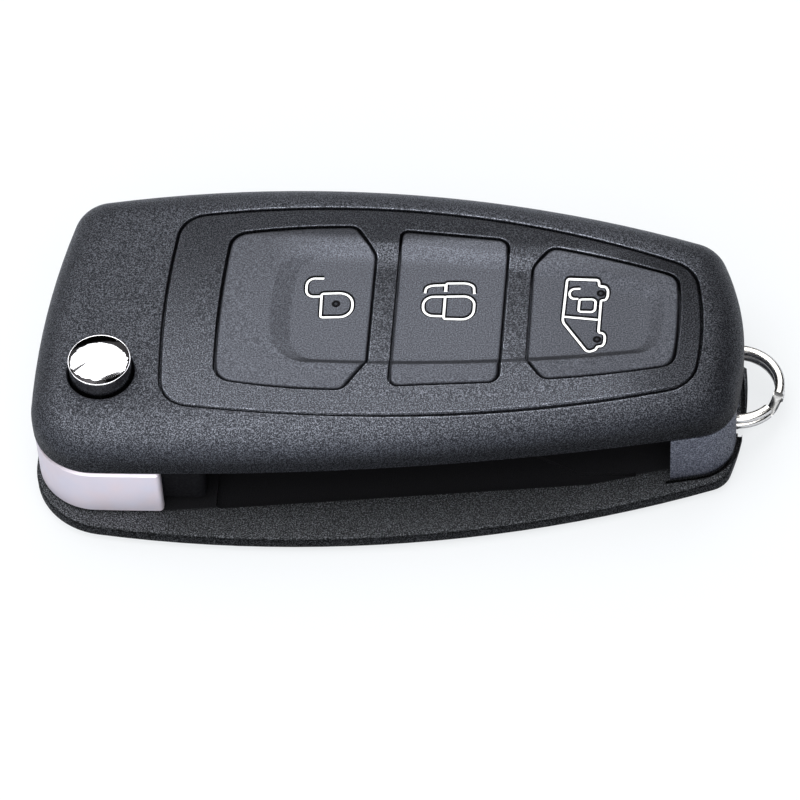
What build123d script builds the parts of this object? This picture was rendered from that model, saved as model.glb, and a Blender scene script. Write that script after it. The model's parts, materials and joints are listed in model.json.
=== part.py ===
from build123d import *
import os

os.makedirs("parts", exist_ok=True)

# A folding remote key: x runs from the hinge end to the ring end, y from the blade slot's side to
# the back, z up from the resting face. The origin is on the resting face, under the buttons' midline.

# Stack of the housing, from the resting face up
base_thickness = 2.2
middle_height = 7.1
cover_height = 6.05
crown_rise = 0.45

# Plan of the top cover: corners from the hinge end's slot side round by the ring end
cover_corners = [(-38.0, -19.4), (37.1, -11.1), (35.45, 11.6), (-35.8, 14.95)]
cover_bows = [2.25, 2.2, 4.85, 1.55]
cover_radii = [7.0, 5.0, 4.5, 4.5]
cover_rounding = 3.9
cover_foot_chamfer = 0.4
cover_wall = 1.6
cover_roof = 1.4
cavity_chamfer = 1.8

# Plan of the bottom cover, which stands out as a lip under the blade slot
base_corners = [(-38.3, -20.3), (37.0, -11.95), (37.3, 10.9), cover_corners[3]]
base_bows = [5.2, 1.95, 5.1, 1.55]
base_radii = [8.5, 3.0, 4.0, 4.5]
base_chamfer = 0.8
base_top_chamfer = 0.3
base_floor = 1.4
slot_recess_near = [(-18.5, -18.3), (22.0, -13.35), (29.7, -11.3)]
slot_recess_far = [(20.9, -11.7), (14.0, -8.4), (-18.5, -8.4)]
slot_recess_radii = [0.6, 4.0, 0.3, 4.0, 4.0, 0.6]
slot_recess_depth = 0.7

# Middle frame
frame_inset = 0.15
frame_wall = 1.3
foot_groove = 0.45
foot_groove_depth = 0.6
lip_height = 0.8
lip_clearance = 0.1
tray_floor = 7.5
deck_thickness = 0.8
slot_back = -7.5
slot_end = 30.9

# Peg joints between the bottom cover and the frame
peg_places = [(-29.0, 12.0), (20.0, 11.8), (33.6, -9.6)]
peg_radius = 0.9
peg_height = 3.0
peg_clearance = 0.05

# Button panel and its three keys
panel_corners = [(-24.1, -13.8), (33.0, -9.1), (32.8, 6.9), (-24.0, 11.9)]
panel_bows = [2.75, 1.0, 4.1, 0.8]
panel_radii = [3.5, 4.0, 4.0, 3.5]
panel_gap = 0.3
panel_flange_width = 0.9
panel_flange_thickness = 0.7
panel_seat_gap = 0.1
panel_roof = 1.5
panel_rim = 1.2
lip_chamfer = 0.15
crown_middle_x = 4.5
crown_half_length = 28.6
crown_half_width = 13.0
key_gap = 0.32
key_chamfer = 0.16
key_flange_width = 0.5
key_flange_thickness = 0.6
key_seat_gap = 0.15
unlock_corners = [(-18.6, -10.3), (-4.6, -11.25), (-2.2, -7.5), (-2.15, 7.45), (-4.6, 11.25),
                  (-18.3, 9.75)]
unlock_bows = [0.35, 0, 0, 0, 0.35, 0.4]
unlock_radii = [2.2, 1.4, 1.4, 1.4, 1.4, 2.2]
lock_corners = [(0.34, -10.65), (12.2, -9.65), (12.4, 9.95), (0.4, 10.85)]
lock_bows = [0, 0, 0, 0]
lock_radii = [1.0, 1.3, 1.4, 0.8]
door_corners = [(16.9, -9.05), (30.9, -6.4), (31.1, 5.7), (17.05, 9.15), (15.1, 6.25), (15.05, -6.6)]
door_bows = [0.25, 0.4, 0.25, 0, 0, 0]
door_radii = [1.4, 1.8, 1.8, 1.4, 1.4, 1.4]

# Shallow finger trough across the keys: its plan at the surface and the slopes down to its floor
trough_corners = [(-13.6, -8.2), (30.0, -5.4), (30.6, 5.2), (-13.4, 9.5)]
trough_bows = [0.9, 0.6, 1.5, 0.4]
trough_radii = [4.2, 3.0, 3.0, 5.0]
trough_slopes = [1.2, 2.7, 2.4, 3.0]
trough_depth = 0.8

# Hinge of the blade carrier
pivot_x = -30.9
pivot_y = -9.9
swing_clearance = 0.3
carrier_face_inset = 0.1
carrier_end = -24.1
carrier_back = -1.2
carrier_float = 0.2
skin_thickness = 0.9
skin_gap = 0.05
skin_chamfer = 0.25
skin_corner = 0.5
hub_wall = 1.0
hub_seat_depth = 1.2
hub_rise = 2.7
bearing_clearance = 0.05
collar_wall = 1.2
arm_end = -19.5
arm_near = -17.5
arm_far = -9.0
arm_shoulder = 0.8
socket_width = 6.0
socket_height = 2.6
socket_depth = 5.4
roll_pin_radius = 0.8
roll_pin_inset = 2.8
cup_floor = 5.0

# Release button
button_radius = 3.4
button_hole_gap = 0.25
button_bore_gap = 0.5
button_rise = 2.1
button_cap_height = 3.0
button_dome = 0.6
button_edge = 0.12
plunger_height = 2.8
plunger_gap = 1.0
stem_radius = 1.9
stem_low = 4.6
guide_wall = 0.65
guide_top_gap = 0.15
spring_wire = 0.6
spring_wire_sides = 4
spring_pitch = 2.0
spring_seat_gap = 0.1

# Split ring and the post that holds it
ring_x = 37.9
ring_y = 0.0
ring_line_radius = 4.75
ring_wire_width = 1.05
ring_wire_height = 0.86
ring_wire_chamfer = 0.22
ring_pitch = 0.92
ring_rise_angle = 28.0
ring_split_angle = -15.0
ring_rest_gap = 0.1
ring_pocket_start = 31.9
ring_pocket_half = 7.0
post_low_x = 35.2
post_high_x = 38.2
post_half = 3.4
post_rounding = 1.45
notch_start = 37.6
notch_inner = 3.5
notch_outer = 5.7

# Chrome lug on the hinge end
lug_reach = 1.6
lug_y = 2.4
lug_z = 5.2
lug_width = 3.2
lug_height = 2.6
lug_root = 1.6
lug_rounding = 0.9

# Electronics
cell_x = -2.0
cell_y = 5.2
cell_radius = 10.0
cell_thickness = 3.2
cell_clearance = 0.3
cell_low = 3.2
cell_pad_inset = 1.0
cell_pad_wall = 1.2
cell_edge = 0.3
contact_thickness = 0.25
contact_width = 4.0
contact_disc_radius = 3.5
contact_tab_width = 2.0
contact_slot_clearance = 0.25
board_thickness = 1.0
board_level = 9.3
board_edge_gap = 0.3
board_post_radius = 1.1
board_posts = [(-15.6, -3.6), (-15.6, 11.0), (28.0, -3.6), (25.6, 8.0)]
tray_near = -6.2
tray_low_x = -17.8
tray_high_x = 30.6
switch_y = 0.0
switch_places = {"unlock_switch": -10.5, "lock_switch": 6.3, "door_switch": 23.2}
switch_size = (4.0, 3.0, 1.2)
switch_plunger_radius = 0.9
switch_plunger_height = 0.4
control_chip_size = (6.0, 6.0, 1.0)
control_chip_place = (14.8, 8.0)
crystal_size = (5.0, 3.2, 1.1)
crystal_place = (-2.0, 9.0)
transponder_size = (11.0, 5.8, 3.0)
transponder_place = (-26.5, 8.4)
transponder_clearance = 0.2
transponder_cover = 0.9

# Rubber mat under the keys
mat_inset = 1.6
mat_web = 0.4
mat_level = 12.1
mat_rim_width = 0.6
mat_rim_gap = 0.05
mat_dome_radius = 2.0
mat_gap = 0.1

# Levels and places that follow from the sizes above
seam_level = base_thickness + middle_height
cover_top = seam_level + cover_height
crown_top = cover_top + crown_rise
lip_top = seam_level + lip_height
key_flange_top = crown_top - panel_roof - trough_depth - key_seat_gap
key_flange_bottom = key_flange_top - key_flange_thickness
carrier_bottom = base_thickness + carrier_float
carrier_top = seam_level - carrier_float
hub_top = carrier_top + hub_rise + lip_height
panel_flange_top = cover_top - cover_roof - panel_seat_gap
panel_flange_bottom = panel_flange_top - panel_flange_thickness
crown_across = crown_half_width ** 2 / (2 * crown_rise)
crown_along = crown_half_length ** 2 / (2 * crown_rise)
button_hole_radius = button_radius + button_hole_gap
hub_bore = button_radius + button_bore_gap
hub_radius = hub_bore + hub_wall
plunger_radius = hub_bore - plunger_gap
spring_coil_radius = plunger_radius - spring_wire / 2
core_start = pivot_x + hub_radius - hub_seat_depth
arm_bottom = carrier_bottom + arm_shoulder
arm_top = carrier_top - arm_shoulder
arm_middle = (arm_near + arm_far) / 2
collar_radius = hub_radius + bearing_clearance + collar_wall
guide_bore = stem_radius + bearing_clearance
guide_radius = guide_bore + guide_wall
button_top = cover_top + button_rise
cap_bottom = button_top - button_cap_height
plunger_bottom = cap_bottom - plunger_height
cell_top = cell_low + cell_thickness
well_radius = cell_radius + cell_clearance
board_top = board_level + board_thickness

# Tools that cut through reach this far, and those that end inside a hollow start this much early
reach = 100.0
overcut = 1.0


# A closed plan face of bowed sides with rounded corners. Corners run counter-clockwise, a bow is
# how far its side sags outward, and a radius rounds the corner where its side starts.
def bowed_face(corners, bows, radii):
    sides = []
    for number, start in enumerate(corners):
        end = corners[(number + 1) % len(corners)]
        a = Vector(*start)
        b = Vector(*end)
        outward = (b - a).normalized().rotate(Axis.Z, -90)
        if bows[number]:
            sides.append(ThreePointArc(a, (a + b) * 0.5 + outward * bows[number], b))
        else:
            sides.append(Line(a, b))
    face = make_face(sides)
    for corner, radius in zip(corners, radii):
        face = fillet(face.vertices().sort_by_distance(Vector(*corner))[0], radius)
    return redrawn(face)


# The same plan face with each side as a true line or a true arc
def redrawn(face):
    sides = []
    for side in face.faces()[0].outer_wire().edges():
        if side.geom_type == GeomType.LINE:
            sides.append(Line(side @ 0, side @ 1))
        else:
            sides.append(ThreePointArc(side @ 0, side @ 0.5, side @ 1))
    return make_face(sides)


# A plan face grown outward by an amount, or shrunk where the amount is negative
def grown(face, amount):
    return redrawn(offset(face, amount))


# A straight solid of a plan face between two heights
def prism(face, low, high):
    return extrude(Pos(0, 0, low) * face, amount=high - low, dir=(0, 0, 1))


# An upright disc or rod between two heights
def disc(x, y, radius, low, high):
    return Pos(x, y, low) * Cylinder(radius, high - low, align=(Align.CENTER, Align.CENTER, Align.MIN))


# A box between its lowest and highest corners
def block(low, high):
    size = [b - a for a, b in zip(low, high)]
    return Pos(*low) * Box(*size, align=(Align.MIN, Align.MIN, Align.MIN))


# A box on a level, centred in plan
def chip(place, size, level):
    return Pos(place[0], place[1], level) * Box(*size, align=(Align.CENTER, Align.CENTER, Align.MIN))


# The button panel and its keys share one crown, arched both ways and level with the cover at its rim
def make_crown():
    crown = Torus(crown_along - crown_across, crown_across, rotation=(90, 0, 0))
    return Pos(crown_middle_x, 0, crown_top - crown_along) * crown


def top_face(solid):
    return solid.faces().sort_by(Axis.Z)[-1]


def bottom_face(solid):
    return solid.faces().sort_by(Axis.Z)[0]


cover_face = bowed_face(cover_corners, cover_bows, cover_radii)
base_face = bowed_face(base_corners, base_bows, base_radii)
panel_line = bowed_face(panel_corners, panel_bows, panel_radii)
panel_flange_line = grown(panel_line, panel_flange_width)
frame_face = grown(cover_face, -frame_inset)
lip_face = grown(cover_face, -cover_wall - lip_clearance)
key_lines = {
    "unlock_button": bowed_face(unlock_corners, unlock_bows, unlock_radii),
    "lock_button": bowed_face(lock_corners, lock_bows, lock_radii),
    "door_button": bowed_face(door_corners, door_bows, door_radii),
}
crown = make_crown()

# Plan of the blade carrier: it follows the cover's edge, and stops short of its bounds by an inset
def carrier_face(inset, end):
    high_y = carrier_back - inset
    bounds = Pos((end - reach) / 2, (high_y - reach) / 2) * Rectangle(end + reach, high_y + reach)
    return grown(cover_face, -carrier_face_inset - inset) & bounds


# The carrier turns inside a round room that clears its farthest corner
carrier_line = carrier_face(0, carrier_end)
pivot = Vector(pivot_x, pivot_y)
swing_room = max((Vector(*corner) - pivot).length for corner in carrier_line.vertices()) + swing_clearance


# The hollow that the finger trough takes out of the panel and the keys
def finger_trough():
    near, ring_end, far, hinge_end = trough_slopes
    floor_corners = [
        (trough_corners[0][0] + hinge_end, trough_corners[0][1] + near),
        (trough_corners[1][0] - ring_end, trough_corners[1][1] + near),
        (trough_corners[2][0] - ring_end, trough_corners[2][1] - far),
        (trough_corners[3][0] + hinge_end, trough_corners[3][1] - far),
    ]
    mouth = bowed_face(trough_corners, trough_bows, trough_radii)
    floor = bowed_face(floor_corners, trough_bows, [radius - near for radius in trough_radii])
    slopes = loft([Pos(0, 0, crown_top - trough_depth) * floor, Pos(0, 0, crown_top) * mouth], ruled=True)
    return slopes + prism(mouth, crown_top, crown_top + overcut)


# Hollow of the top cover, or what fits in it with a clearance all round
def cover_hollow(clearance):
    plan = grown(cover_face, -cover_wall - clearance)
    hollow = prism(plan, seam_level - overcut, cover_top - cover_roof - clearance)
    return chamfer(top_face(hollow).edges(), cavity_chamfer)


def make_top_cover():
    shell = prism(cover_face, seam_level, cover_top)
    shell = fillet(top_face(shell).edges(), cover_rounding)
    shell = chamfer(bottom_face(shell).edges(), cover_foot_chamfer)
    cavity = cover_hollow(0)
    collar = disc(pivot_x, pivot_y, collar_radius, lip_top + lip_clearance, cover_top)
    shell = shell - cavity + (collar & cavity)
    shell -= disc(pivot_x, pivot_y, hub_radius + bearing_clearance, seam_level, hub_top + carrier_float)
    shell -= disc(pivot_x, pivot_y, button_hole_radius, seam_level, cover_top)
    shell -= prism(grown(panel_line, panel_gap / 2), seam_level, cover_top)
    openings = ShapeList()
    for wire in top_face(shell).inner_wires():
        openings += wire.edges()
    return chamfer(openings, lip_chamfer)


def make_button_panel(trough):
    plate = prism(grown(panel_line, -panel_gap / 2), panel_flange_bottom, cover_top)
    plate = chamfer(top_face(plate).edges(), lip_chamfer)
    inner = grown(panel_line, -panel_gap / 2 - lip_chamfer)
    plate += prism(inner, panel_flange_bottom, crown_top + overcut) & crown
    flange = prism(panel_flange_line, panel_flange_bottom, panel_flange_top)
    flange -= disc(pivot_x, pivot_y, collar_radius + panel_seat_gap, 0, reach)
    plate += flange & cover_hollow(panel_seat_gap)
    hollow_top = key_flange_top + key_seat_gap
    plate -= prism(grown(panel_line, -panel_rim), panel_flange_bottom - overcut, hollow_top)
    plate -= trough
    for line in key_lines.values():
        plate -= prism(grown(line, key_gap / 2), panel_flange_bottom, crown_top + overcut)
    return plate


def make_key(line, trough):
    cap = prism(grown(line, -key_gap / 2), key_flange_bottom, crown_top + overcut) & crown
    cap = chamfer(top_face(cap).edges(), key_chamfer)
    cap -= trough
    return cap + prism(grown(line, key_flange_width), key_flange_bottom, key_flange_top)


def make_keypad_mat():
    outline = grown(panel_line, -mat_inset)
    web_top = mat_level + mat_web
    mat = prism(outline, mat_level, web_top)
    rim = outline - grown(outline, -mat_rim_width)
    mat += prism(rim, web_top, panel_flange_bottom - mat_rim_gap)
    for line in key_lines.values():
        mat -= prism(grown(line, key_flange_width + key_seat_gap), web_top, panel_flange_bottom)
    for x in switch_places.values():
        mat += disc(x, switch_y, mat_dome_radius, mat_level, key_flange_bottom - mat_gap)
    return mat


# Two upright slots for the ring's wires leave a post standing between them
def ring_pocket():
    low = (ring_pocket_start, -ring_pocket_half, base_thickness - overcut)
    high = (reach, ring_pocket_half, seam_level)
    post = block((post_low_x, -post_half, base_thickness - overcut), (post_high_x, post_half, seam_level))
    post = fillet(post.edges().filter_by(Axis.Z), post_rounding)
    return block(low, high) - post


def make_middle_frame():
    frame = prism(frame_face, base_thickness, seam_level) + prism(lip_face, seam_level, lip_top)
    frame -= disc(pivot_x, pivot_y, swing_room, base_thickness - overcut, seam_level)
    frame -= disc(pivot_x, pivot_y, hub_radius + swing_clearance, seam_level - overcut, lip_top + overcut)
    frame -= block((pivot_x, -reach, base_thickness - overcut), (slot_end, slot_back, seam_level))
    frame -= block((-reach, -reach, base_thickness - overcut), (pivot_x, pivot_y, seam_level))
    frame -= ring_pocket()
    frame -= disc(cell_x, cell_y, well_radius, base_thickness - overcut, tray_floor - deck_thickness)
    tray = prism(grown(lip_face, -frame_wall), tray_floor, lip_top + overcut)
    frame -= tray & block((tray_low_x, tray_near, 0), (tray_high_x, reach, reach))
    for x, y in board_posts:
        frame += disc(x, y, board_post_radius, tray_floor - deck_thickness, board_level)
    for x, y in peg_places:
        hole_top = base_thickness + peg_height
        frame -= disc(x, y, peg_radius + peg_clearance, base_thickness - overcut, hole_top)
    frame -= contact_slots()
    size = [side + 2 * transponder_clearance for side in transponder_size]
    size[2] = reach
    frame -= chip(transponder_place, size, lip_top - transponder_cover - transponder_size[2])
    return frame - make_hinge_lug()


# Room for the two battery contacts on their way up to the board
def contact_slots():
    gap = contact_slot_clearance
    side = cell_x + cell_radius
    rim_slot = block(
        (side - overcut, cell_y - contact_width / 2 - gap, cell_low),
        (side + contact_thickness + 2 * gap, cell_y + contact_width / 2 + gap, tray_floor + overcut),
    )
    tab_slot = block(
        (cell_x - contact_thickness - gap, cell_y - contact_tab_width / 2 - gap, cell_top),
        (cell_x + gap, cell_y + contact_tab_width / 2 + gap, tray_floor + overcut),
    )
    return rim_slot + tab_slot


def make_bottom_cover():
    plate = prism(base_face, 0, base_thickness)
    plate = chamfer(bottom_face(plate).edges(), base_chamfer)
    plate = chamfer(top_face(plate).edges(), base_top_chamfer)
    recess_corners = slot_recess_near + slot_recess_far
    recess = bowed_face(recess_corners, [0] * len(recess_corners), slot_recess_radii)
    plate -= prism(recess, base_thickness - slot_recess_depth, base_thickness + overcut)
    groove = grown(frame_face, foot_groove) - frame_face
    groove = prism(groove, base_thickness - foot_groove_depth, base_thickness + overcut)
    plate -= groove - block((-reach, -reach, 0), (slot_end - foot_groove, slot_back, reach))
    plate -= disc(cell_x, cell_y, well_radius, base_floor, base_thickness + overcut)
    pad_radius = cell_radius - cell_pad_inset
    pad = disc(cell_x, cell_y, pad_radius, base_floor, cell_low)
    pad -= disc(cell_x, cell_y, pad_radius - cell_pad_wall, base_floor, cell_low)
    plate += pad
    for x, y in peg_places:
        plate += disc(x, y, peg_radius, base_floor, base_thickness + peg_height - peg_clearance)
    guide_top = cup_floor - guide_top_gap
    plate += disc(pivot_x, pivot_y, guide_radius, base_floor, guide_top)
    plate -= disc(pivot_x, pivot_y, guide_bore, base_floor, guide_top + overcut)
    for side in (-1, 1):
        low, high = sorted((side * notch_inner, side * notch_outer))
        plate -= block((notch_start, low, -overcut), (reach, high, reach))
    return plate


def make_carrier_cover():
    skin = prism(fillet(carrier_line.vertices(), skin_corner), carrier_bottom, carrier_top)
    skin = chamfer(top_face(skin).edges() + bottom_face(skin).edges(), skin_chamfer)
    doorway = block((pivot_x, pivot_y - hub_radius, 0), (reach, pivot_y + hub_radius, reach))
    return skin - prism(carrier_face(skin_thickness, carrier_end + overcut), 0, reach) - doorway


# The core seats the hub in its end and closes the chrome cover, and its arm holds the tang of a blade
def make_carrier_core():
    core = prism(carrier_face(skin_thickness + skin_gap, carrier_end), carrier_bottom, carrier_top)
    core &= block((core_start, -reach, 0), (reach, reach, reach))
    arm = block((core_start, arm_near, arm_bottom), (arm_end, arm_far, arm_top))
    core += fillet(arm.edges().filter_by(Axis.Z).group_by(Axis.X)[-1], arm_shoulder)
    core -= disc(pivot_x, pivot_y, hub_radius, 0, reach)
    middle_z = (carrier_bottom + carrier_top) / 2
    core -= block(
        (arm_end - socket_depth, arm_middle - socket_width / 2, middle_z - socket_height / 2),
        (arm_end + overcut, arm_middle + socket_width / 2, middle_z + socket_height / 2),
    )
    return core - disc(arm_end - roll_pin_inset, arm_middle, roll_pin_radius, 0, reach)


def make_carrier_hub():
    hub = disc(pivot_x, pivot_y, hub_radius, carrier_bottom, hub_top)
    hub -= disc(pivot_x, pivot_y, hub_bore, cup_floor, hub_top + overcut)
    return hub - disc(pivot_x, pivot_y, guide_radius + bearing_clearance, 0, cup_floor + overcut)


def make_flip_spring():
    low = cup_floor + spring_seat_gap + spring_wire / 2
    high = plunger_bottom - spring_seat_gap - spring_wire / 2
    path = Pos(pivot_x, pivot_y, low) * Helix(spring_pitch, high - low, spring_coil_radius)
    section = Plane(origin=path @ 0, z_dir=path % 0) * RegularPolygon(spring_wire / 2, spring_wire_sides)
    return sweep(section, path=path, is_frenet=True)


def make_release_cap():
    rim_radius = button_radius - button_edge
    dome_radius = (rim_radius ** 2 + button_dome ** 2) / (2 * button_dome)
    dome = Pos(pivot_x, pivot_y, button_top + button_dome - dome_radius) * Sphere(dome_radius)
    cap = disc(pivot_x, pivot_y, button_radius, cap_bottom, button_top)
    cap = chamfer(top_face(cap).edges(), button_edge)
    return cap + (disc(pivot_x, pivot_y, rim_radius, cap_bottom, button_top + button_dome) & dome)


def make_release_stem():
    head = disc(pivot_x, pivot_y, plunger_radius, plunger_bottom, cap_bottom)
    return head + disc(pivot_x, pivot_y, stem_radius, stem_low, plunger_bottom)


# Two flat coils of one wire: a short rising stretch joins the end of the lower to the upper's start
def make_split_ring():
    low = base_thickness + ring_rest_gap + ring_wire_height / 2
    wire = Rectangle(ring_wire_width, ring_wire_height)
    wire = chamfer(wire.vertices(), ring_wire_chamfer)
    turn = Rot(0, 0, ring_split_angle)
    section = Plane.XZ * Pos(ring_line_radius, 0) * wire
    coil = revolve(section, Axis.Z, 360 - ring_rise_angle)
    path = []
    for share in (0, 0.5, 1):
        around = Vector(ring_line_radius, 0, 0).rotate(Axis.Z, ring_rise_angle * (share - 1))
        path.append(around + Vector(0, 0, ring_pitch * share))
    heading = [Vector(0, 1, 0).rotate(Axis.Z, -ring_rise_angle), Vector(0, 1, 0)]
    rise = Spline(path, tangents=heading)
    start = Plane(origin=path[0], x_dir=path[0], z_dir=heading[0]) * wire
    ring = coil + Pos(0, 0, ring_pitch) * coil + sweep(start, path=rise, normal=(0, 0, 1))
    return Pos(ring_x, ring_y, low) * turn * ring


def make_hinge_lug():
    outer = cover_corners[3][0] - cover_bows[3] - lug_reach
    low = (outer, lug_y - lug_width / 2, lug_z - lug_height / 2)
    high = (outer + lug_reach + lug_root, lug_y + lug_width / 2, lug_z + lug_height / 2)
    lug = block(low, high)
    return fillet(lug.faces().sort_by(Axis.X)[0].edges(), lug_rounding)


def make_coin_cell():
    can = disc(cell_x, cell_y, cell_radius, cell_low, cell_top)
    return chamfer(can.edges().sort_by(Axis.Z)[-1], cell_edge)


def make_rim_contact():
    side = cell_x + cell_radius
    return block(
        (side + contact_slot_clearance / 2, cell_y - contact_width / 2, cell_low + cell_edge),
        (side + contact_slot_clearance / 2 + contact_thickness, cell_y + contact_width / 2, board_level),
    )


def make_face_contact():
    leaf = disc(cell_x, cell_y, contact_disc_radius, cell_top, cell_top + contact_thickness)
    return leaf + block(
        (cell_x - contact_thickness, cell_y - contact_tab_width / 2, cell_top),
        (cell_x, cell_y + contact_tab_width / 2, board_level),
    )


def make_circuit_board():
    room = prism(grown(lip_face, -frame_wall - board_edge_gap), board_level, board_top)
    low = (tray_low_x + board_edge_gap, tray_near + board_edge_gap, 0)
    high = (tray_high_x - board_edge_gap, reach, reach)
    return room & block(low, high)


def make_switch(x):
    body = chip((x, switch_y), switch_size, board_top)
    body_top = board_top + switch_size[2]
    return body + disc(x, switch_y, switch_plunger_radius, body_top, body_top + switch_plunger_height)


def make_transponder():
    return chip(transponder_place, transponder_size, lip_top - transponder_cover - transponder_size[2])


trough = finger_trough()
nodes = {
    "top_cover": make_top_cover(),
    "button_panel": make_button_panel(trough),
    "keypad_mat": make_keypad_mat(),
    "middle_frame": make_middle_frame(),
    "bottom_cover": make_bottom_cover(),
    "hinge_end_lug": make_hinge_lug(),
    "carrier_cover": make_carrier_cover(),
    "carrier_core": make_carrier_core(),
    "carrier_hub": make_carrier_hub(),
    "flip_spring": make_flip_spring(),
    "release_cap": make_release_cap(),
    "release_stem": make_release_stem(),
    "split_ring": make_split_ring(),
    "coin_cell": make_coin_cell(),
    "cell_rim_contact": make_rim_contact(),
    "cell_face_contact": make_face_contact(),
    "circuit_board": make_circuit_board(),
    "control_chip": chip(control_chip_place, control_chip_size, board_top),
    "radio_crystal": chip(crystal_place, crystal_size, board_top),
    "transponder_chip": make_transponder(),
}
for name, line in key_lines.items():
    nodes[name] = make_key(line, trough)
for name, x in switch_places.items():
    nodes[name] = make_switch(x)

for name, solid in nodes.items():
    export_step(solid, f"parts/{name}.step")
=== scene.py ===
import json
import math
import bpy
import bmesh
from mathutils import Matrix, Vector
from mathutils.bvhtree import BVHTree

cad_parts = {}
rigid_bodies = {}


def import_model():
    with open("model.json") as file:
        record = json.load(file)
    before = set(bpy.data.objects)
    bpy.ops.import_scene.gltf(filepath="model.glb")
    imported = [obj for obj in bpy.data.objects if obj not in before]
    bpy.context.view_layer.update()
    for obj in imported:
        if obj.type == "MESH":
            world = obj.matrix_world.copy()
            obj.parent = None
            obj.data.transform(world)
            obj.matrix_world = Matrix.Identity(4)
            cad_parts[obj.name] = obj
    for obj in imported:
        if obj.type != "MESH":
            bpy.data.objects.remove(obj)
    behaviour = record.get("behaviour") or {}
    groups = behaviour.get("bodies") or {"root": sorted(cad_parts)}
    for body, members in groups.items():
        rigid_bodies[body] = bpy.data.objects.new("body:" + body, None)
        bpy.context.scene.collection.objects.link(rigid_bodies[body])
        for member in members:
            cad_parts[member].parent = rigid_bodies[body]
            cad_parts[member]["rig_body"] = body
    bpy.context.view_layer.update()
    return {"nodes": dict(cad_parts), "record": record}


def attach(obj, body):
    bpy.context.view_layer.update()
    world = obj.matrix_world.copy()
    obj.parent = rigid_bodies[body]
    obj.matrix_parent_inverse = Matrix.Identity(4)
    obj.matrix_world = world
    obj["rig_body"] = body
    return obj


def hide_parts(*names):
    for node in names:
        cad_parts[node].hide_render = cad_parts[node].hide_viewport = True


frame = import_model()
nodes = frame["nodes"]
scene = bpy.context.scene
mm = 0.001  # sizes and places below are in millimetres


# The camera's angles are in degrees, and its near clip is in metres
cameraSettings = {
    "azimuth": 6.6,
    "elevation": 53.2,
    "roll": -3.4,
    "distance": 502.5,
    "target": (1.21, -7.55, 8.8),
    "lens": 207.0,
    "sensor": 36,
    "nearClip": 0.01,
}


def addObject(name, data):
    made = bpy.data.objects.new(name, data)
    scene.collection.objects.link(made)
    return made


def placeCamera(settings):
    azimuth, elevation, roll = (math.radians(settings[key]) for key in ("azimuth", "elevation", "roll"))
    level = math.cos(elevation)
    back = Vector((math.sin(azimuth) * level, -math.cos(azimuth) * level, math.sin(elevation)))
    across = Vector((math.cos(azimuth), math.sin(azimuth), 0))
    upward = back.cross(across)
    turned = math.cos(roll) * across + math.sin(roll) * upward
    raised = math.cos(roll) * upward - math.sin(roll) * across
    camera = addObject("camera", bpy.data.cameras.new("camera"))
    camera.data.lens = settings["lens"]
    camera.data.sensor_width = settings["sensor"]
    camera.data.clip_start = settings["nearClip"]
    turn = Matrix((turned, raised, back)).transposed().to_4x4()
    spot = (Vector(settings["target"]) + back * settings["distance"]) * mm
    camera.matrix_world = Matrix.Translation(spot) @ turn
    scene.camera = camera


placeCamera(cameraSettings)
scene.view_settings.view_transform = "Standard"
print("camera placed")


# Adds a shader node. An input is given by its socket's name, or by its number after an underscore, and is a
# value or another node's output.
def addNode(tree, kind, settings=None, **inputs):
    made = tree.nodes.new(kind)
    for key, value in (settings or {}).items():
        setattr(made, key, value)
    for key, value in inputs.items():
        socket = made.inputs[int(key[1:])] if key[0] == "_" else made.inputs[key]
        if isinstance(value, bpy.types.NodeSocket):
            tree.links.new(value, socket)
        else:
            socket.default_value = value
    return made


def calculated(tree, operation, first, second):
    return addNode(tree, "ShaderNodeMath", {"operation": operation}, _0=first, _1=second).outputs[0]


def mapped(tree, value, start, end, low=0.0, high=1.0, kind="LINEAR"):
    return addNode(tree, "ShaderNodeMapRange", {"interpolation_type": kind}, _0=value, _1=start, _2=end,
                   _3=low, _4=high).outputs[0]


def mixedValue(tree, factor, first, second):
    return addNode(tree, "ShaderNodeMix", {"data_type": "FLOAT"}, _0=factor, _2=first, _3=second).outputs[0]


def mixedColour(tree, factor, first, second):
    return addNode(tree, "ShaderNodeMix", {"data_type": "RGBA"}, _0=factor, _6=first, _7=second).outputs[2]


def scaledColour(tree, colour, factor):
    return addNode(tree, "ShaderNodeVectorMath", {"operation": "SCALE"}, _0=colour, Scale=factor).outputs[0]


def noise(tree, place, size, detail, roughness=0.5):
    return addNode(tree, "ShaderNodeTexNoise", Vector=place, Scale=1 / (size * mm), Detail=detail,
                   Roughness=roughness).outputs["Fac"]


# The low and high softboxes stand behind the key and show in its top, and the one in front shows in its near
# side. The camera sees a brighter floor than the one that the key reflects. Powers are in watts.
lightSettings = {
    "softboxes": [
        {"name": "lowSoftbox", "place": (-190, 577, 541), "size": (1300, 440), "power": 3.4},
        {"name": "highSoftbox", "place": (-150, 220, 770), "size": (1300, 430), "power": 6.8},
        {"name": "frontSoftbox", "place": (-60, -470, 647), "size": (1300, 1205), "power": 15.8},
    ],
    "skyTop": 0.03,
    "skyEdge": 0.015,
    "skyRise": 0.9,
    "floorSize": 3.0,
    "floorColour": (0.46, 0.48, 0.52, 1),
    "floorShown": (0.15, 0.153, 0.157, 1),
    "floorTint": (0.965, 0.985, 1, 1),
    "floorGlow": 0.73,
}


# A softbox that faces the origin
def aimedLamp(settings):
    lamp = bpy.data.lights.new(settings["name"], "AREA")
    lamp.shape = "RECTANGLE"
    lamp.size, lamp.size_y = (side * mm for side in settings["size"])
    lamp.energy = settings["power"]
    holder = addObject(settings["name"], lamp)
    holder.location = Vector(settings["place"]) * mm
    holder.rotation_mode = "QUATERNION"
    holder.rotation_quaternion = (-holder.location).to_track_quat("-Z", "Y")


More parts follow.
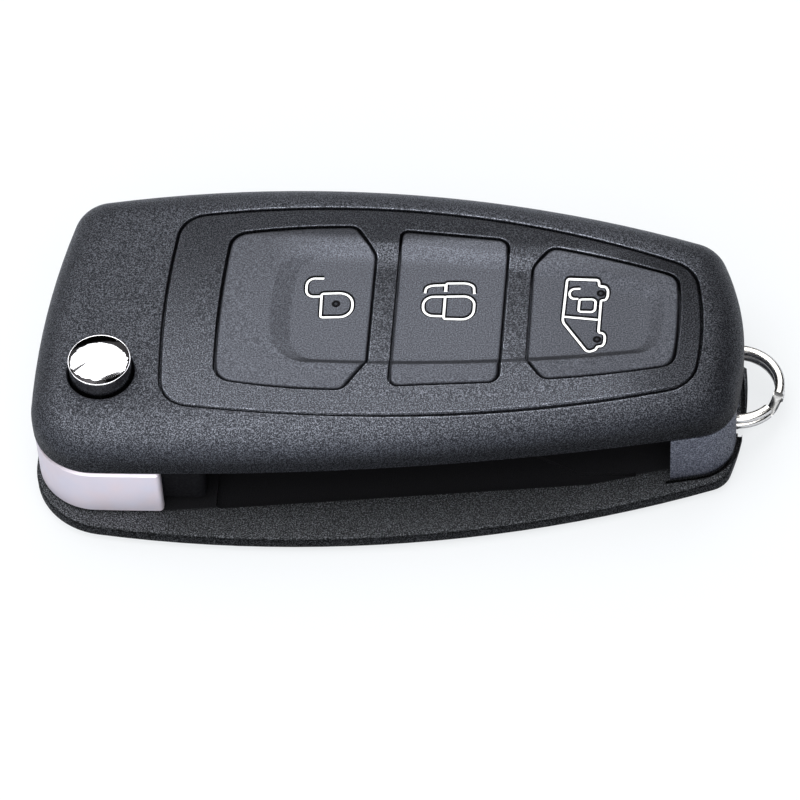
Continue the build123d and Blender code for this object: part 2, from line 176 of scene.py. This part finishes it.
# A dim room for the light, and plain white for the camera
def makeSky(settings):
    world = bpy.data.worlds.new("studio")
    scene.world = world
    world.use_nodes = True
    tree = world.node_tree
    tree.nodes.clear()
    place = addNode(tree, "ShaderNodeTexCoord")
    parts = addNode(tree, "ShaderNodeSeparateXYZ", _0=place.outputs["Generated"])
    sky = mapped(tree, parts.outputs["Z"], 0.0, settings["skyRise"], settings["skyEdge"], settings["skyTop"])
    ray = addNode(tree, "ShaderNodeLightPath")
    seen = mixedValue(tree, ray.outputs["Is Camera Ray"], sky, 1.0)
    glow = addNode(tree, "ShaderNodeBackground", Color=(1, 1, 1, 1), Strength=seen)
    addNode(tree, "ShaderNodeOutputWorld", Surface=glow.outputs[0])


def makeFloor(settings):
    form = bmesh.new()
    bmesh.ops.create_grid(form, x_segments=1, y_segments=1, size=settings["floorSize"])
    mesh = bpy.data.meshes.new("floor")
    form.to_mesh(mesh)
    form.free()
    floor = addObject("floor", mesh)
    material = bpy.data.materials.new("paleFloor")
    material.use_nodes = True
    tree = material.node_tree
    tree.nodes.clear()
    ray = addNode(tree, "ShaderNodeLightPath")
    bare = addNode(tree, "ShaderNodeBsdfDiffuse", Color=settings["floorColour"])
    thin = addNode(tree, "ShaderNodeBsdfDiffuse", Color=settings["floorShown"])
    glow = addNode(tree, "ShaderNodeEmission", Color=settings["floorTint"], Strength=settings["floorGlow"])
    lit = addNode(tree, "ShaderNodeAddShader", _0=thin.outputs[0], _1=glow.outputs[0])
    shown = addNode(tree, "ShaderNodeMixShader", _0=ray.outputs["Is Camera Ray"],
                    _1=bare.outputs[0], _2=lit.outputs[0])
    addNode(tree, "ShaderNodeOutputMaterial", Surface=shown.outputs[0])
    mesh.materials.append(material)


for softbox in lightSettings["softboxes"]:
    aimedLamp(softbox)
makeSky(lightSettings)
makeFloor(lightSettings)
print("studio lit")


# A material with its shader and the socket for places on the object
def startMaterial(name):
    material = bpy.data.materials.new(name)
    material.use_nodes = True
    tree = material.node_tree
    tree.nodes.clear()
    shader = addNode(tree, "ShaderNodeBsdfPrincipled")
    addNode(tree, "ShaderNodeOutputMaterial", Surface=shader.outputs["BSDF"])
    place = addNode(tree, "ShaderNodeTexCoord")
    return material, tree, shader, place.outputs["Object"]


# A factor that changes along X, Y or Z for each fade, which paints light and shade: its axis, start and end
# in mm, and both values
def fadeFactor(tree, parts, paintedFades):
    factor = 1.0
    for axis, start, end, low, high in paintedFades:
        fade = mapped(tree, parts.outputs[axis], start * mm, end * mm, low, high, "SMOOTHSTEP")
        factor = calculated(tree, "MULTIPLY", fade, factor)
    return factor


# How far a place is behind the blade slot's edge, whose plan is the higher of two lines: the mask of the
# slot's painted shade
def slotShade(tree, parts, settings):
    across = parts.outputs["X"]
    edges = []
    for slope, level in settings["lines"]:
        edges.append(calculated(tree, "ADD", calculated(tree, "MULTIPLY", across, slope), level * mm))
    edge = calculated(tree, "MAXIMUM", edges[0], edges[1])
    depth = calculated(tree, "SUBTRACT", parts.outputs["Y"], edge)
    behind = mapped(tree, depth, 0.0, settings["border"] * mm)
    low, high = settings["span"]
    offset = calculated(tree, "SUBTRACT", across, (low + high) / 2 * mm)
    away = calculated(tree, "ABSOLUTE", offset, 0.0)
    within = calculated(tree, "LESS_THAN", away, (high - low) / 2 * mm)
    above = calculated(tree, "GREATER_THAN", parts.outputs["Z"], settings["floor"] * mm)
    return calculated(tree, "MULTIPLY", behind, calculated(tree, "MULTIPLY", within, above))


# The height of an arch across the key, which tilts the normals of a flatter face
def archHeight(tree, parts, settings):
    across = calculated(tree, "SUBTRACT", parts.outputs["Y"], settings["archMiddle"] * mm)
    square = calculated(tree, "MULTIPLY", across, across)
    return calculated(tree, "MULTIPLY", square, -0.5 / (settings["arch"] * mm))


# What the plastics share. Noise runs about its span, and an edge is soft where the rounded normal's share
# along the plain one falls through the edge span.
plasticSettings = {
    "grainDetail": 3.0,
    "grainRoughness": 0.65,
    "drift": 9,
    "driftDetail": 3.0,
    "noiseSpan": (0.3, 0.7),
    "glintRange": (0.4, 0.66),
    "edgeSpan": (0.99, 0.8),
    "edgeSamples": 8,
}


# A normal rounded within a radius of the edges, and a painted highlight: the gain that the glints have there
def roundedEdgeAndHighlight(tree, radius, gain):
    samples = plasticSettings["edgeSamples"]
    rounded = addNode(tree, "ShaderNodeBevel", {"samples": samples}, Radius=radius * mm)
    plain = addNode(tree, "ShaderNodeNewGeometry")
    along = addNode(tree, "ShaderNodeVectorMath", {"operation": "DOT_PRODUCT"}, _0=rounded.outputs[0],
                    _1=plain.outputs["Normal"])
    return rounded.outputs[0], mapped(tree, along.outputs["Value"], *plasticSettings["edgeSpan"], 1.0, gain)


# Moulded plastic. Its grain drives the roughness, the bumps and the glints. Fades paint light and shade into
# colour and glints, a patch paints a highlight into the glints, soft edges catch light and take a painted
# highlight, an arch tilts the normals and a painted shade darkens the slot.
def mouldedPlastic(name, settings):
    material, tree, shader, place = startMaterial(name)
    parts = addNode(tree, "ShaderNodeSeparateXYZ", _0=place)
    grain = noise(tree, place, settings["grain"], plasticSettings["grainDetail"],
                  plasticSettings["grainRoughness"])
    drift = noise(tree, place, plasticSettings["drift"], plasticSettings["driftDetail"])
    colour = mixedColour(tree, drift, settings["dark"], settings["light"])
    smooth, coarse = settings["roughness"]
    rough = mapped(tree, grain, *plasticSettings["noiseSpan"], coarse, smooth)
    tree.links.new(rough, shader.inputs["Roughness"])
    glintRange = settings.get("glintRange", plasticSettings["glintRange"])
    glint = mapped(tree, grain, *glintRange, *settings["specular"])
    # Fades paint light and shade: they scale the colour and the glints along an axis
    if "paintedFades" in settings:
        fade = fadeFactor(tree, parts, settings["paintedFades"])
        glint = calculated(tree, "MULTIPLY", glint, fade)
        colour = scaledColour(tree, colour, fade)
    # The patch paints a highlight: it lifts the glints inside its fades
    if "highlightPatch" in settings:
        gain, edges = settings["highlightPatch"]
        lift = calculated(tree, "MULTIPLY", fadeFactor(tree, parts, edges), gain)
        glint = calculated(tree, "MULTIPLY", glint, calculated(tree, "ADD", lift, 1.0))
    rounded = None
    # Soft edges take rounded normals, and a painted highlight lifts their glints
    if "softAndHighlight" in settings:
        rounded, gain = roundedEdgeAndHighlight(tree, *settings["softAndHighlight"])
        glint = calculated(tree, "MULTIPLY", glint, gain)
    # The slot's shade is painted: colour and glints darken behind its edge
    if "shade" in settings:
        dim = slotShade(tree, parts, settings["shade"])
        glint = mixedValue(tree, dim, glint, settings["shade"]["glint"])
        colour = mixedColour(tree, dim, colour, settings["shade"]["colour"])
    tree.links.new(glint, shader.inputs["Specular IOR Level"])
    tree.links.new(colour, shader.inputs["Base Color"])
    shader.inputs["Specular Tint"].default_value = settings.get("tint", (1, 1, 1, 1))
    bump = addNode(tree, "ShaderNodeBump", Strength=1.0, Distance=settings["grainHeight"] * mm, Height=grain)
    tree.links.new(bump.outputs[0], shader.inputs["Normal"])
    if "arch" in settings:
        height = archHeight(tree, parts, settings)
        arch = addNode(tree, "ShaderNodeBump", Strength=1.0, Distance=1.0, Height=height)
        tree.links.new(arch.outputs[0], bump.inputs["Normal"])
        bump = arch
    if rounded:
        tree.links.new(rounded, bump.inputs["Normal"])
    return material


# What the metals share
metalSettings = {
    "driftDetail": 1.0,
    "scuffDetail": 4.0,
    "noiseSpan": (0.3, 0.7),
    "ragDetail": 3.0,
    "ovalEdge": 0.03,
}


# 1 outside an oval with a ragged edge: its middle, half sizes, raggedness and the size of the rags
def outsideOval(tree, place, settings):
    middle, half, ragged, rag = settings
    offset = addNode(tree, "ShaderNodeVectorMath", {"operation": "SUBTRACT"}, _0=place,
                     _1=(middle[0] * mm, middle[1] * mm, 0))
    flat = addNode(tree, "ShaderNodeVectorMath", {"operation": "MULTIPLY"}, _0=offset.outputs[0],
                   _1=(1 / (half[0] * mm), 1 / (half[1] * mm), 0))
    away = addNode(tree, "ShaderNodeVectorMath", {"operation": "LENGTH"}, _0=flat.outputs[0]).outputs["Value"]
    rags = noise(tree, place, rag, metalSettings["ragDetail"])
    away = calculated(tree, "ADD", away, calculated(tree, "MULTIPLY", rags, ragged))
    edge = 1 + ragged / 2
    return mapped(tree, away, edge, edge + metalSettings["ovalEdge"])


# Metal: two close tints that drift into each other, a slight waviness and scuffs in the roughness. Fades,
# where it has them, paint light and shade into its colour. Outside its oval, where it has one, it takes a
# painted dark reflection.
def metal(name, settings):
    material, tree, shader, place = startMaterial(name)
    drift = noise(tree, place, settings["drift"], metalSettings["driftDetail"])
    colour = mixedColour(tree, drift, settings["first"], settings["second"])
    # Fades paint light and shade into the colour
    if "paintedFades" in settings:
        parts = addNode(tree, "ShaderNodeSeparateXYZ", _0=place)
        colour = scaledColour(tree, colour, fadeFactor(tree, parts, settings["paintedFades"]))
    # Outside the oval, a dark reflection is painted round the edge of the cap
    if "oval" in settings:
        colour = mixedColour(tree, outsideOval(tree, place, settings["oval"]), colour, settings["rim"])
    tree.links.new(colour, shader.inputs["Base Color"])
    shader.inputs["Metallic"].default_value = settings.get("metallic", 1.0)
    scuff = noise(tree, place, settings["scuff"], metalSettings["scuffDetail"])
    smooth, coarse = settings["roughness"]
    rough = mapped(tree, scuff, *metalSettings["noiseSpan"], smooth, coarse)
    tree.links.new(rough, shader.inputs["Roughness"])
    bump = addNode(tree, "ShaderNodeBump", Strength=1.0, Distance=settings["wave"] * mm, Height=drift)
    tree.links.new(bump.outputs[0], shader.inputs["Normal"])
    return material


# Tints are linear colours. Grain, drift, scuff, wave, arch and the radius of soft edges are in millimetres,
# and specular is the glints' range from the grain's hollows to its tops.
finishes = {
    # The cover: fades paint a brighter near side, shade low on its walls and darker ends; its soft edges take
    # a painted highlight
    "textured_plastic": mouldedPlastic("sparkErodedBlack", {
        "dark": (0.005, 0.0052, 0.0065, 1), "light": (0.009, 0.0095, 0.012, 1), "roughness": (0.34, 0.5),
        "specular": (0.22, 2.8), "glintRange": (0.46, 0.69), "tint": (0.81, 0.86, 1, 1), "grain": 0.14,
        "grainHeight": 0.08, "arch": 110, "archMiddle": 0, "softAndHighlight": (0.35, 3.2),
        "paintedFades": [("Y", -20, -12, 1.45, 0.88), ("Z", 10.8, 14.6, 0.22, 1.0), ("X", 24, 38, 1.0, 0.5),
                  ("X", -40, -2, 0.73, 1.0)]}),
    # The lip: its Z fade paints shade on its edge, and its shade paints the dark of the slot behind it
    "lip_plastic": mouldedPlastic("lipBlack", {
        "dark": (0.010, 0.0105, 0.011, 1), "light": (0.015, 0.016, 0.017, 1), "roughness": (0.36, 0.52),
        "specular": (0.05, 3.0), "glintRange": (0.48, 0.69), "tint": (0.87, 0.91, 1, 1), "grain": 0.145,
        "grainHeight": 0.12, "paintedFades": [("Z", 1.95, 2.18, 0.25, 1.0)],
        "shade": {"lines": [(0.1222, -16.04), (0.266, -19.2)], "border": 0.3, "span": (-24.5, 30.9),
                  "floor": 1.3, "glint": 0.05, "colour": (0.008, 0.008, 0.009, 1)}}),
    # The panel: fades paint a brighter near side and a darker far side and right end, its patch a highlight
    # on the far slope, and its soft edges a painted highlight
    "panel_plastic": mouldedPlastic("panelBlack", {
        "dark": (0.006, 0.0062, 0.0075, 1), "light": (0.010, 0.0105, 0.013, 1), "roughness": (0.34, 0.5),
        "specular": (0.28, 2.4), "glintRange": (0.46, 0.69), "tint": (0.81, 0.86, 1, 1), "grain": 0.145,
        "grainHeight": 0.08, "arch": 75, "archMiddle": 2, "softAndHighlight": (0.3, 4.5),
        "paintedFades": [("Y", -13, 12, 1.12, 0.5), ("X", 23, 31, 1.0, 0.45)],
        "highlightPatch": (1.0, [("X", -8, -4, 0, 1), ("Y", 5, 7, 0, 1), ("Y", 8.6, 9.6, 1, 0),
                        ("X", 20, 26, 1, 0)])}),
    # The keys: fades paint a darker far edge and right side, the patch a highlight on the far slope, and soft
    # edges a painted highlight
    "key_plastic": mouldedPlastic("keyBlack", {
        "dark": (0.007, 0.0072, 0.009, 1), "light": (0.011, 0.0115, 0.014, 1), "roughness": (0.36, 0.46),
        "specular": (0.3, 1.15), "tint": (0.80, 0.85, 1, 1), "grain": 0.15, "grainHeight": 0.025, "arch": 120,
        "archMiddle": 8, "softAndHighlight": (0.4, 1.2),
        "paintedFades": [("Y", 9.2, 10.4, 1.0, 0.5), ("X", 8, 24, 1.05, 0.85)],
        "highlightPatch": (0.38, [("X", -15, -10, 0, 1), ("Y", 5.8, 7.6, 0, 1), ("Y", 9.0, 10.2, 1, 0)])}),
    # The end block: its Z fade paints shade at its foot
    "satin_plastic": mouldedPlastic("satinBlack", {
        "dark": (0.036, 0.039, 0.051, 1), "light": (0.05, 0.053, 0.069, 1), "roughness": (0.4, 0.5),
        "specular": (0.0, 3.4), "glintRange": (0.46, 0.68), "tint": (0.81, 0.86, 1, 1), "grain": 0.17,
        "grainHeight": 0.05, "paintedFades": [("Z", 2.25, 2.75, 0.15, 1.0)]}),
    # Inside the slot: a black without glints that paints the slot's shade
    "slot_plastic": mouldedPlastic("slotPaintedShade", {
        "dark": (0.004, 0.004, 0.005, 1), "light": (0.007, 0.007, 0.008, 1), "roughness": (0.5, 0.6),
        "specular": (0.03, 0.08), "grain": 0.3, "grainHeight": 0.004}),
    "rubber": mouldedPlastic("mattRubber", {
        "dark": (0.02, 0.02, 0.02, 1), "light": (0.03, 0.03, 0.03, 1), "roughness": (0.7, 0.85),
        "specular": (0.2, 0.3), "grain": 0.4, "grainHeight": 0.01}),
    "chip_plastic": mouldedPlastic("chipBlack", {
        "dark": (0.02, 0.02, 0.02, 1), "light": (0.03, 0.03, 0.032, 1), "roughness": (0.5, 0.65),
        "specular": (0.4, 0.5), "grain": 0.2, "grainHeight": 0.006}),
    "switch_plastic": mouldedPlastic("switchGrey", {
        "dark": (0.06, 0.06, 0.065, 1), "light": (0.08, 0.08, 0.085, 1), "roughness": (0.4, 0.55),
        "specular": (0.4, 0.5), "grain": 0.2, "grainHeight": 0.005}),
    "board": mouldedPlastic("boardGreen", {
        "dark": (0.01, 0.09, 0.04, 1), "light": (0.015, 0.13, 0.05, 1), "roughness": (0.25, 0.4),
        "specular": (0.4, 0.5), "grain": 0.5, "grainHeight": 0.004}),
    "chrome": metal("polishedChrome", {
        "first": (0.90, 0.88, 0.90, 1), "second": (0.88, 0.89, 0.93, 1), "drift": 6, "wave": 0.004,
        "scuff": 2, "roughness": (0.05, 0.12)}),
    # The cap's top: a dark reflection is painted round its edge, outside the bright oval
    "cap_chrome": metal("capChrome", {
        "first": (0.90, 0.88, 0.90, 1), "second": (0.88, 0.89, 0.93, 1), "drift": 6, "wave": 0.004,
        "scuff": 2, "roughness": (0.05, 0.12), "oval": ((-30.87, -10.3), (3.05, 2.4), 0.22, 0.5),
        "rim": (0.02, 0.019, 0.02, 1)}),
    # The cap's side wall: a darker chrome that paints the dark reflection on it
    "wall_chrome": metal("capWallPaintedReflection", {
        "first": (0.20, 0.195, 0.2, 1), "second": (0.30, 0.30, 0.31, 1), "drift": 0.8, "wave": 0.006,
        "scuff": 1, "roughness": (0.1, 0.25)}),
    # The lug's edge: a dark metal that paints the shade on its rounded edge
    "lug_edge": metal("lugEdgePaintedShade", {
        "first": (0.03, 0.03, 0.03, 1), "second": (0.06, 0.06, 0.06, 1), "drift": 1, "wave": 0.002,
        "scuff": 1, "roughness": (0.2, 0.3)}),
    # The carrier's face: its X fade paints shade on the left and light on the right
    "pearl_chrome": metal("pearlChrome", {
        "first": (0.63, 0.54, 0.57, 1), "second": (0.55, 0.55, 0.64, 1), "drift": 2.2, "wave": 0.01,
        "scuff": 2, "roughness": (0.35, 0.5), "metallic": 0.45, "paintedFades": [("X", -38, -26.5, 0.92, 1.12)]}),
    "ring_steel": metal("nickelWire", {
        "first": (0.72, 0.70, 0.67, 1), "second": (0.80, 0.78, 0.74, 1), "drift": 2, "wave": 0.003,
        "scuff": 0.6, "roughness": (0.12, 0.3)}),
    # The ring's joint: a dark steel that paints the shade in the cut
    "joint_steel": metal("ringJointPaintedShade", {
        "first": (0.15, 0.15, 0.15, 1), "second": (0.3, 0.3, 0.3, 1), "drift": 0.6, "wave": 0.002,
        "scuff": 0.5, "roughness": (0.25, 0.4)}),
    "spring_steel": metal("springSteel", {
        "first": (0.5, 0.5, 0.5, 1), "second": (0.6, 0.6, 0.6, 1), "drift": 2, "wave": 0.002,
        "scuff": 0.4, "roughness": (0.3, 0.45)}),
    "cell_steel": metal("cellSteel", {
        "first": (0.62, 0.62, 0.63, 1), "second": (0.7, 0.7, 0.71, 1), "drift": 4, "wave": 0.002,
        "scuff": 0.5, "roughness": (0.25, 0.4)}),
}

# Every CAD node takes the finish of its slot
slotOf = {entry["node"]: entry["material_slot"] for entry in frame["record"]["subparts"]}
for name, node in nodes.items():
    node.data.materials.clear()
    node.data.materials.append(finishes[slotOf[name]])
print("finishes made")


weldSettings = {"apart": 0.002, "degenerate": 0.0001, "normalWeight": 100}


# A welded copy of a node, smooth except over edges that turn more than an angle. Its faces inside a box,
# given by its lowest and highest corners, take the second finish.
def smoothCopy(node, name, finish, sharpAngle, second=None):
    form = bmesh.new()
    form.from_mesh(nodes[node].data)
    bmesh.ops.remove_doubles(form, verts=form.verts, dist=weldSettings["apart"] * mm)
    bmesh.ops.dissolve_degenerate(form, edges=form.edges, dist=weldSettings["degenerate"] * mm)
    for face in form.faces:
        face.smooth = True
    for edge in form.edges:
        edge.smooth = len(edge.link_faces) == 2 and edge.calc_face_angle() < math.radians(sharpAngle)
    if second:
        low, high = (Vector(corner) * mm for corner in second[:2])
        for face in form.faces:
            middle = face.calc_center_median()
            if all(a < b < c for a, b, c in zip(low, middle, high)):
                face.material_index = 1
    mesh = bpy.data.meshes.new(name)
    form.to_mesh(mesh)
    form.free()
    mesh.materials.append(finishes[finish])
    if second:
        mesh.materials.append(finishes[second[2]])
    piece = addObject(name, mesh)
    weigh = piece.modifiers.new("weigh", "WEIGHTED_NORMAL")
    weigh.keep_sharp = True
    weigh.weight = weldSettings["normalWeight"]
    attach(piece, nodes[node]["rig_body"])
    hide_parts(node)


# Each shown node: its piece's name, its finish, and the angle beyond which its edges stay sharp
shownPieces = {
    "top_cover": ("topCoverShell", "textured_plastic", 35),
    "bottom_cover": ("bottomCoverPlate", "lip_plastic", 50),
    "button_panel": ("buttonPanelPlate", "panel_plastic", 5),
    "middle_frame": ("middleFrameBody", "satin_plastic", 35),
    "unlock_button": ("unlockKey", "key_plastic", 5),
    "lock_button": ("lockKey", "key_plastic", 5),
    "door_button": ("doorKey", "key_plastic", 5),
    "carrier_cover": ("carrierSkin", "pearl_chrome", 35),
    "carrier_core": ("carrierBody", "slot_plastic", 35),
    "carrier_hub": ("carrierHub", "slot_plastic", 35),
    "hinge_end_lug": ("hingeLug", "chrome", 35),
    "release_cap": ("releaseButton", "cap_chrome", 18),
    "release_stem": ("releasePlunger", "slot_plastic", 35),
    "split_ring": ("splitRingCoils", "ring_steel", 50),
}

# The box, in millimetres, whose faces on a piece take another finish. These finishes are darker and paint
# shade and dark reflections in the slot, on the lug's edge, on the cap's side wall and at the ring's joint.
secondFinishes = {
    "middle_frame": ((-40, -9.6, 1.2), (31.2, -6, 9.2), "slot_plastic"),
    "hinge_end_lug": ((-38.94, 0, 3), (-38.7, 5, 7), "lug_edge"),
    "release_cap": ((-36, -16, 14), (-26, -4, 17.4), "wall_chrome"),
    "split_ring": ((41.4, -3.4, 2.2), (43.4, -1.2, 4.3), "joint_steel"),
}

for node, (name, finish, sharpAngle) in shownPieces.items():
    smoothCopy(node, name, finish, sharpAngle, secondFinishes.get(node))
print("shells smoothed")


beadSettings = {"middle": (-30.9, -9.9, 17.4), "radius": 3.35, "wire": 0.05, "sides": 12, "steps": 96}


# The fine bead round the release cap's rim
def rimBead(settings):
    x, y, z = (value * mm for value in settings["middle"])
    form = bmesh.new()
    start = Matrix.Translation((x + settings["radius"] * mm, y, z)) @ Matrix.Rotation(math.pi / 2, 4, "X")
    bmesh.ops.create_circle(form, segments=settings["sides"], radius=settings["wire"] * mm, matrix=start)
    bmesh.ops.spin(form, geom=form.verts[:] + form.edges[:], cent=(x, y, z), axis=(0, 0, 1),
                   angle=2 * math.pi, steps=settings["steps"], use_merge=True)
    bmesh.ops.recalc_face_normals(form, faces=form.faces)
    for face in form.faces:
        face.smooth = True
    mesh = bpy.data.meshes.new("capRimBead")
    form.to_mesh(mesh)
    form.free()
    mesh.materials.append(finishes["chrome"])
    piece = addObject("capRimBead", mesh)
    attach(piece, nodes["release_cap"]["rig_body"])


rimBead(beadSettings)
print("cap's bead added")


# The symbols: a white line in a moat of painted shade, and dots of the same painted shade with a pip in each.
# A key's strokes are closed (True) or open, and each of their points has its place in plan and the length
# that rounds its corner.
symbolSettings = {
    "lineWidth": 0.31,
    # The moat paints the groove's shade: it is wider than the line and shifted along Y toward the far side
    "moatWidth": 0.62,
    "lineRise": 0.014,
    "moatRise": 0.008,
    "moatShadowShift": 0.1,
    "dotRadius": 0.48,
    "dotRise": 0.02,
    "pipRadius": 0.24,
    "pipRise": 0.03,
    "cornerShare": 0.49,
    "handleShare": 0.56,
    "curveSteps": 8,
    "bevelSteps": 2,
    "domeSegments": 24,
    "domeRings": 10,
    "dropFrom": 50,
    "unlock_button": [
        (False, [(-7.7, 4.1, 0), (-9.6, 4.05, 1.1), (-9.5, 1.5, 0.9), (-7.86, 1.6, 0)]),
        (True, [(-7.81, 1.98, 0.25), (-4.35, 2.25, 1.6), (-4.3, -1.1, 1.4), (-7.72, -1.3, 0.25)]),
    ],
    "lock_button": [
        (True, [(5.72, 2.1, 0.2), (3.35, 2.0, 1.2), (3.45, -0.6, 1.1), (5.72, -0.6, 0.2)]),
        (True, [(5.74, 2.12, 0.2), (9.0, 2.3, 1.3), (8.95, -0.95, 1.3), (5.74, -0.95, 0.2)]),
        (False, [(3.5, 2.5, 0), (3.6, 3.55, 1.0), (5.7, 3.7, 0.15), (5.72, 2.8, 0)]),
        (False, [(5.78, 2.8, 0), (5.76, 3.95, 0.2), (8.75, 4.1, 1.2), (8.9, 2.6, 0)]),
    ],
    "door_button": [
        (True, [(18.95, 5.05, 0.3), (22.44, 4.9, 0.3), (22.47, 4.22, 0.2), (23.5, 4.1, 0.7),
                (23.45, 2.35, 0.7), (22.76, 2.28, 0.2), (22.66, -2.15, 0.2), (23.4, -2.3, 0.6),
                (23.35, -3.95, 0.6), (22.59, -4.08, 0.2), (22.47, -4.5, 0.2), (21.6, -4.95, 0.5),
                (18.7, -0.84, 0.4)]),
        (False, [(18.79, -0.13, 0), (22.51, -0.41, 0)]),
        (False, [(20.44, 3.8, 0), (19.3, 3.7, 0.6), (19.3, 2.4, 0.6), (20.28, 2.37, 0)]),
        (True, [(20.42, 2.32, 0.3), (22.2, 2.4, 0.5), (22.15, 0.62, 0.5), (20.36, 0.62, 0.3)]),
    ],
    "dots": {"unlock_button": [(-6.14, 0.65)], "door_button": [(22.71, 3.25), (22.55, -3.1)]},
}


# One stroke of a symbol as a curve whose corners are rounded with handles
def addStroke(curve, closed, points):
    share = symbolSettings["cornerShare"]
    lean = symbolSettings["handleShare"]
    spots = []
    count = len(points)
    for number, (x, y, corner) in enumerate(points):
        here = Vector((x, y))
        if not closed and number in (0, count - 1):
            spots.append((here, here, here))
            continue
        before = Vector(points[number - 1][:2])
        after = Vector(points[(number + 1) % count][:2])
        start = here + (before - here).normalized() * min(corner, (before - here).length * share)
        end = here + (after - here).normalized() * min(corner, (after - here).length * share)
        spots.append((start, start, start.lerp(here, lean)))
        spots.append((end.lerp(here, lean), end, end))
    spline = curve.splines.new("BEZIER")
    spline.use_cyclic_u = closed
    spline.bezier_points.add(len(spots) - 1)
    for knot, (left, middle, right) in zip(spline.bezier_points, spots):
        knot.handle_left_type = knot.handle_right_type = "FREE"
        knot.handle_left = (*left * mm, 0)
        knot.co = (*middle * mm, 0)
        knot.handle_right = (*right * mm, 0)


# Lays a flat mesh on a key: each point rises by the height of the key under it
def draped(mesh, node):
    form = bmesh.new()
    form.from_mesh(nodes[node].data)
    surface = BVHTree.FromBMesh(form)
    form.free()
    for point in mesh.vertices:
        above = Vector((point.co.x, point.co.y, symbolSettings["dropFrom"] * mm))
        spot = surface.ray_cast(above, Vector((0, 0, -1)))[0]
        point.co.z += spot.z


# A piece of a symbol that lies on a key and moves with it
def inlaid(mesh, node, name, finish):
    draped(mesh, node)
    mesh.materials.clear()
    mesh.materials.append(finish)
    for face in mesh.polygons:
        face.use_smooth = True
    piece = addObject(name, mesh)
    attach(piece, nodes[node]["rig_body"])


# A key's strokes as one flattened line of a width and rise, shifted along Y
def paintedLine(node, name, width, rise, shift, finish):
    curve = bpy.data.curves.new(name, "CURVE")
    curve.dimensions = "3D"
    curve.resolution_u = symbolSettings["curveSteps"]
    curve.bevel_depth = width / 2 * mm
    curve.bevel_resolution = symbolSettings["bevelSteps"]
    curve.use_fill_caps = True
    for closed, points in symbolSettings[node]:
        addStroke(curve, closed, points)
    drawn = addObject(name + "Line", curve)
    bpy.context.view_layer.update()
    mesh = bpy.data.meshes.new_from_object(drawn.evaluated_get(bpy.context.evaluated_depsgraph_get()))
    bpy.data.objects.remove(drawn)
    flatten = Matrix.Diagonal((1, 1, rise / (width / 2), 1))
    mesh.transform(Matrix.Translation((0, shift * mm, 0)) @ flatten)
    inlaid(mesh, node, name, finish)


# The keyhole and the wheels as low domes
def domes(node, name, radius, rise, finish):
    form = bmesh.new()
    for x, y in symbolSettings["dots"][node]:
        shape = Matrix.Translation((x * mm, y * mm, 0)) @ Matrix.Diagonal((1, 1, rise / radius, 1))
        bmesh.ops.create_uvsphere(form, u_segments=symbolSettings["domeSegments"],
                                  v_segments=symbolSettings["domeRings"], radius=radius * mm, matrix=shape)
    mesh = bpy.data.meshes.new(name)
    form.to_mesh(mesh)
    form.free()
    inlaid(mesh, node, name, finish)


symbolWhite = mouldedPlastic("symbolWhite", {
    "dark": (0.74, 0.75, 0.76, 1), "light": (0.86, 0.86, 0.86, 1), "roughness": (0.4, 0.6),
    "specular": (0.3, 0.4), "grain": 0.3, "grainHeight": 0.004})
# The moat and the dots: a dark sheet that paints the shade of the grooves round the symbols
moatPaintedShade = mouldedPlastic("moatPaintedShade", {
    "dark": (0.002, 0.002, 0.0025, 1), "light": (0.004, 0.004, 0.005, 1), "roughness": (0.5, 0.6),
    "specular": (0.02, 0.06), "grain": 0.2, "grainHeight": 0.004})
for node in ("unlock_button", "lock_button", "door_button"):
    short = node.split("_")[0]
    # The moat's line is shifted toward the far side, where the groove's shadow falls
    paintedLine(node, short + "SymbolMoatShade", symbolSettings["moatWidth"], symbolSettings["moatRise"],
                symbolSettings["moatShadowShift"], moatPaintedShade)
    paintedLine(node, short + "Symbol", symbolSettings["lineWidth"], symbolSettings["lineRise"], 0,
                symbolWhite)
    if node in symbolSettings["dots"]:
        domes(node, short + "Dots", symbolSettings["dotRadius"], symbolSettings["dotRise"], moatPaintedShade)
        domes(node, short + "Pips", symbolSettings["pipRadius"], symbolSettings["pipRise"],
              finishes["key_plastic"])
print("symbols drawn")
